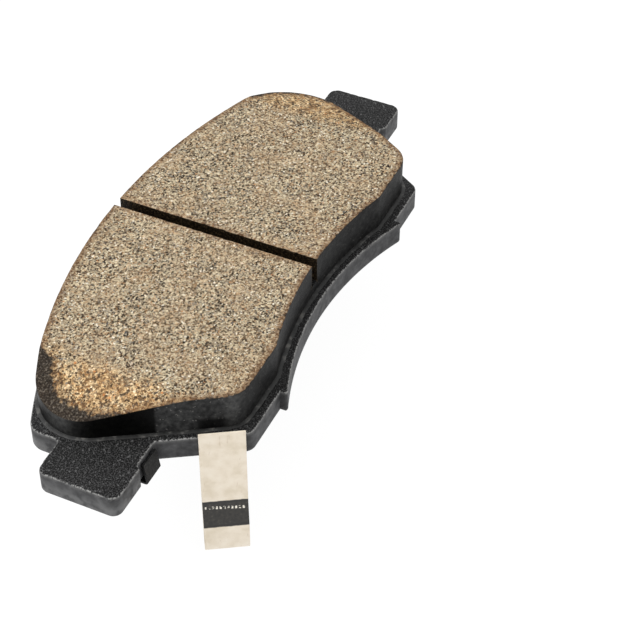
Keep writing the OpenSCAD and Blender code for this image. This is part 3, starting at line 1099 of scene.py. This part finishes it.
def grainPaint(f, small):
    # one flat colour for each small cell, some tinted brown or grey, shaded by fine dust
    grain = f.colourRamp(f.channel(small, "Red"), [
        (0.0, (52, 45, 38)), (0.08, (104, 90, 73)), (0.21, (148, 133, 110)), (0.38, (178, 163, 137)),
        (0.60, (198, 184, 155)), (0.82, (221, 207, 176)), (0.965, (242, 234, 214)),
    ], "CONSTANT")
    tint = f.channel(small, "Green")
    grain = f.mix(tint.above(0.80) * 0.35, grain, tone(206, 160, 112))
    grain = f.mix(tint.ramp(0.14, 0.04) * 0.40, grain, tone(128, 134, 138))
    dust = f.noise(3.0, 3.0)
    shade = f.colourRamp(dust, [
        (0.30, (168, 164, 160)), (0.50, (234, 232, 230)), (0.70, (255, 255, 255)),
    ])
    return f.mix(1.0, grain, shade, "MULTIPLY")


def fleckPaint(f, bent):
    # where the larger flecks lie, which is the middles of four cells in ten, and their colours
    cells = f.cells(1.35, "Color", bent)
    distance = f.cells(1.35, "Distance", bent)
    colour = f.colourRamp(f.channel(cells, "Blue"), [
        (0.0, (30, 27, 26)), (0.40, (74, 66, 58)), (0.66, (104, 106, 108)), (0.90, (178, 122, 78)),
        (0.96, (236, 228, 208)),
    ], "CONSTANT")
    return f.channel(cells, "Green").above(0.60) * distance.ramp(0.46, 0.32), colour


def goldenZone(f, ground, bent):
    # past the chamfer's start the ground is warmer and brighter, with burnt streaks and dark specks
    wander = (f.noise(0.22, 3.0) - 0.5) * 7.0
    warm = (f.attribute("pastChamfer") + wander).ramp(-4.0, 3.0)
    grainWay = f.node("Mapping", None, {"Vector": f.bent(0.6, 1.2), "Scale": (0.9, 1.3, 1.0)})
    streak = f.noise(0.45, 6.0, grainWay)
    golden = f.colourRamp(streak, [
        (0.30, (200, 180, 154)), (0.46, (242, 226, 200)), (0.62, (255, 250, 236)),
    ])
    gold = f.mix(1.0, ground, golden, "MULTIPLY")
    gold = f.mix(1.0, gold, (1.38, 1.34, 1.34, 1.0), "MULTIPLY")
    burnt = streak.ramp(0.45, 0.36) * f.noise(1.6, 5.0).ramp(0.42, 0.56)
    gold = f.mix(burnt * 0.7, gold, tone(100, 78, 58))
    speck = f.channel(f.cells(1.9, "Color", bent), "Blue").above(0.86)
    gold = f.mix(speck * 0.8, gold, tone(52, 43, 36))
    return f.mix(warm, ground, gold)


def edgeAndSkin(f, ground):
    # a browner rim, then the black skin at the outer corners with a brown ring round it
    rim = f.attribute("rimGap") + f.noise(0.6, 3.0) * 1.6
    ground = f.mix((1 - rim.ramp(0.6, 3.0)) * 0.55, ground, f.mix(0.35, tone(128, 92, 62), ground))
    ragged = f.noise(1.0, 5.0)
    black = (f.attribute("skin") + (ragged - 0.5) * 5.0).ramp(-0.3, 0.8)
    blackSkin = f.colourRamp(f.noise(2.4, 5.0), [
        (0.36, (26, 24, 22)), (0.54, (50, 46, 42)), (0.70, (112, 104, 94)),
    ])
    brown = (f.attribute("skin") + (ragged - 0.5) * 4.0).ramp(-2.4, 0.4)
    ground = f.mix(brown * 0.7, ground, f.mix(0.3, tone(104, 76, 52), ground))
    return f.mix(black * 0.95, ground, blackSkin)


def compound():
    f = Finish("frictionCompound", **{"Specular IOR Level": 0.06})
    bent = f.bent(2.0, 0.5)
    small = f.cells(2.5, "Color", bent)
    fleck, fleckColour = fleckPaint(f, bent)
    ground = f.mix(fleck * 0.9, grainPaint(f, small), fleckColour)
    pit = f.channel(f.cells(4.2, "Color", f.bent(5.0, 0.2)), "Red").above(0.91)
    ground = f.mix(pit * 0.75, ground, tone(58, 48, 40))
    slow = f.noise(0.11, 3.0)
    ground = f.mix(slow.ramp(0.40, 0.68) * 0.22, ground, tone(176, 146, 112))
    cloud = f.noise(0.7, 4.0)
    ground = f.mix(cloud.ramp(0.56, 0.72) * 0.22, ground, tone(120, 116, 108))
    ground = edgeAndSkin(f, goldenZone(f, ground, bent))
    slotColour = f.colourRamp(f.noise(2.4, 4.0), [
        (0.35, (14, 11, 8)), (0.55, (34, 27, 19)), (0.75, (80, 66, 46)),
    ])
    wallColour = f.mix(f.attribute("slotWall"), wallPaint(f), slotColour)
    onGround = f.attribute("ground")
    height = f.noise(3.0, 4.0) * 0.6 + f.channel(small, "Red") * 0.25 - pit * 0.5 - fleck * 0.2
    return f.finish(f.mix(onGround, wallColour, ground), 0.42 + 0.38 * onGround, height, 0.05, 0.7)


def wallPaint(f):
    # black moulded skin with painted reflection: near black before the upright crease, grey and
    # granular with a few pale specks after it, a painted sheen paler on the rounded corners and a
    # painted dark reflection of the strip above its tip
    lump = f.noise(0.9, 6.0)
    specks = f.channel(f.cells(3.4, "Color"), "Red").above(0.985)
    dark = f.colourRamp(lump, [(0.35, (1, 1, 1)), (0.72, (7, 7, 6))])
    grey = f.colourRamp(lump, [(0.34, (32, 32, 32)), (0.52, (47, 47, 47)), (0.72, (64, 64, 63))])
    grey = f.mix(specks * 0.4, grey, tone(130, 128, 124))
    # painted dark reflection of the strip on the end wall above its tip
    grey = f.mix(f.attribute("soot") * 0.85, grey, tone(4, 4, 4))
    # painted sheen on the rounded corners
    sheen = f.colourRamp(lump, [(0.34, (58, 58, 58)), (0.66, (84, 84, 83))])
    # painted reflection: near black before the upright crease, grey after it
    paint = f.mix(f.attribute("bareWall"), dark, grey)
    return f.mix(f.attribute("cornerSheen") * 0.8, paint, sheen)


def wallOnly(name):
    f = Finish(name, **{"Specular IOR Level": 0.06})
    return f.finish(wallPaint(f), 0.45 + 0.2 * f.noise(1.0, 2.0), f.noise(2.2, 4.0), 0.08, 0.8)


def platePaint():
    f = Finish("platePaint", **{"Specular IOR Level": 0.15})
    stipple = f.noise(3.4, 4.0)
    body = f.colourRamp(stipple, [(0.40, (2, 2, 2)), (0.50, (22, 22, 22)), (0.64, (72, 72, 72))])
    specks = f.channel(f.cells(3.2, "Color", f.bent(3.0, 0.2)), "Red").above(0.965)
    body = f.mix(specks * 0.4, body, tone(120, 120, 120))
    # the sides a smoother grey than the stippled top, partly their smoother paint and partly a painted
    # highlight that makes them paler
    side = f.colourRamp(f.noise(0.5, 5.0), [
        (0.35, (50, 50, 51)), (0.55, (66, 66, 67)), (0.75, (84, 84, 85)),
    ])
    top = f.attribute("top")
    body = f.mix(top, side, body)
    # pale worn paint on the top and back rims, partly real wear and partly a painted highlight along
    # the arris
    wear = (1 - (f.attribute("rimGap") + f.noise(2.4, 4.0) * 1.1).ramp(0.55, 0.85)) * top
    body = f.mix(wear * 0.8, body, tone(168, 167, 165))
    # painted sheen: the sides paler low down on the ears' ends and shoulders
    sideSheen = f.attribute("rub") * (1 - top)
    body = f.mix(sideSheen * f.noise(0.4, 3.0).ramp(0.30, 0.60), body, tone(128, 128, 128))
    height = stipple * 0.7 + f.cells(2.4, "Distance") * 0.4
    return f.finish(body, 0.42 + 0.25 * f.noise(1.2, 2.0), height * (0.25 + 0.75 * top), 0.09, 0.9)


def flashPaint():
    f = Finish("flashPaint", **{"Specular IOR Level": 0.5})
    body = f.colourRamp(f.noise(0.5, 5.0), [
        (0.40, (22, 22, 21)), (0.56, (40, 40, 39)), (0.72, (96, 94, 90)),
    ])
    return f.finish(body, 0.4 + 0.2 * f.noise(1.0), f.noise(1.6, 3.0), 0.05)


# the painted dark reflection on the strip's slanted step, its heights in mm
band = {
    "low": -19.3,
    "high": -12.9,
    "soft": 0.15,
    "borderLow": (0.55, 0.25),    # mm from the band's edge where a border ends and where it is full
    "borderHigh": (0.45, 0.2),
    "dashPitch": 0.85,
    "dashShare": 0.45,            # share of the pitch left blank
    "dashDrop": 1.6,              # mm below the band's upper edge
    "dashTilt": 0.05,
    "dashHalf": (0.45, 0.25),
    "dashEnd": (4.7, 4.4),
}


def springSteel():
    # smudged cream steel with a painted dark reflection as a band on the slanted step, edged in black,
    # and a broken row of dashes in it
    f = Finish("springSteel", **{"Specular IOR Level": 0.5})
    cream = f.colourRamp(f.noise(0.35, 3.0), [
        (0.30, (216, 203, 181)), (0.5, (228, 216, 197)), (0.75, (235, 225, 208)),
    ])
    scuff = f.noise(1.1, 5.0, f.node("Mapping", None, {"Vector": f.place, "Scale": (1.0, 1.0, 0.25)}))
    cream = f.mix(scuff.ramp(0.62, 0.74) * 0.35, cream, tone(178, 156, 128))
    low, high, soft = band["low"], band["high"], band["soft"]
    height, across = f.attribute("bladeHeight"), f.attribute("across")
    z = height + (f.noise(0.9, 3.0) - 0.5) * 0.35
    # painted dark reflection: the band on the slanted step, with painted black lines along its edges
    inBand = z.ramp(low - soft, low + soft) * (1 - z.ramp(high - soft, high + soft))
    borders = (z - low).math("ABSOLUTE").ramp(*band["borderLow"])
    borders = borders + (z - high).math("ABSOLUTE").ramp(*band["borderHigh"])
    bandColour = f.colourRamp(f.noise(1.4, 4.0), [
        (0.35, (26, 24, 20)), (0.6, (42, 39, 34)), (0.8, (76, 71, 62)),
    ])
    colour = f.mix(inBand, cream, bandColour)
    colour = f.mix(borders.math("MINIMUM", 1.0), colour, tone(22, 20, 17))
    dashRow = height + across * band["dashTilt"] - (high - band["dashDrop"])
    dashRow = dashRow.math("ABSOLUTE").ramp(*band["dashHalf"])
    dashes = (across * (1 / band["dashPitch"])).math("FRACT").above(band["dashShare"])
    dashes = dashes * across.math("ABSOLUTE").ramp(*band["dashEnd"])
    broken = f.noise(1.7, 3.0).ramp(0.44, 0.56)
    colour = f.mix(dashRow * dashes * broken, colour, tone(240, 234, 220))
    return f.finish(colour, 0.34 + 0.12 * f.noise(0.8, 3.0), f.noise(1.2, 3.0), 0.02)


def rubberCoat():
    f = Finish("rubberCoat", **{"Specular IOR Level": 0.35})
    body = f.colourRamp(f.noise(1.5, 4.0), [
        (0.35, (26, 26, 26)), (0.6, (38, 38, 38)), (0.8, (56, 56, 56)),
    ])
    return f.finish(body, 0.55 + 0.2 * f.noise(0.6, 3.0), f.noise(3.0, 3.0), 0.05)


def shimSteel():
    f = Finish("shimSteel", **{"Specular IOR Level": 0.15})
    body = f.colourRamp(f.noise(2.0, 4.0), [
        (0.35, (12, 12, 12)), (0.6, (28, 28, 28)), (0.78, (60, 60, 60)),
    ])
    return f.finish(body, 0.4 + 0.2 * f.noise(0.9, 3.0), f.noise(3.0, 3.0), 0.04)


def rivetSteel():
    f = Finish("rivetSteel", Metallic=0.9)
    body = f.colourRamp(f.noise(1.5, 4.0), [(0.35, (120, 118, 114)), (0.7, (176, 174, 170))])
    return f.finish(body, 0.35 + 0.2 * f.noise(1.2, 3.0), f.noise(3.0, 3.0), 0.03)


def dress(piece, material, slot, body, *replaced):
    piece.data.materials.clear()
    piece.data.materials.append(material)
    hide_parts(*replaced)
    if body:
        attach(piece, body)


dress(frictionBlock, compound(), "friction", "pad", "friction_block")
dress(mouldedUnderlayer, wallOnly("underlayerCompound"), "underlayer", "pad", "underlayer")
dress(bondFlash, flashPaint(), "bond", "pad", "bond_layer")
dress(backingPlate, platePaint(), "plate_paint", "pad", "backing_plate")
coat = rubberCoat()
dress(shimOuterCoat, coat, "shim_rubber", "pad", "shim_outer_coat")
dress(shimSheet, shimSteel(), "shim_steel", "pad", "shim")
dress(rivetHead, rivetSteel(), "rivet_steel", "pad", "indicator_rivet")
dress(wearIndicator, springSteel(), "spring_steel", None, "indicator_foot", "indicator_blade")
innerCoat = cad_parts["shim_inner_coat"]
for slot in innerCoat.material_slots:
    slot.material = coat
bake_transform(wearIndicator)
print("materials on, pieces riding")
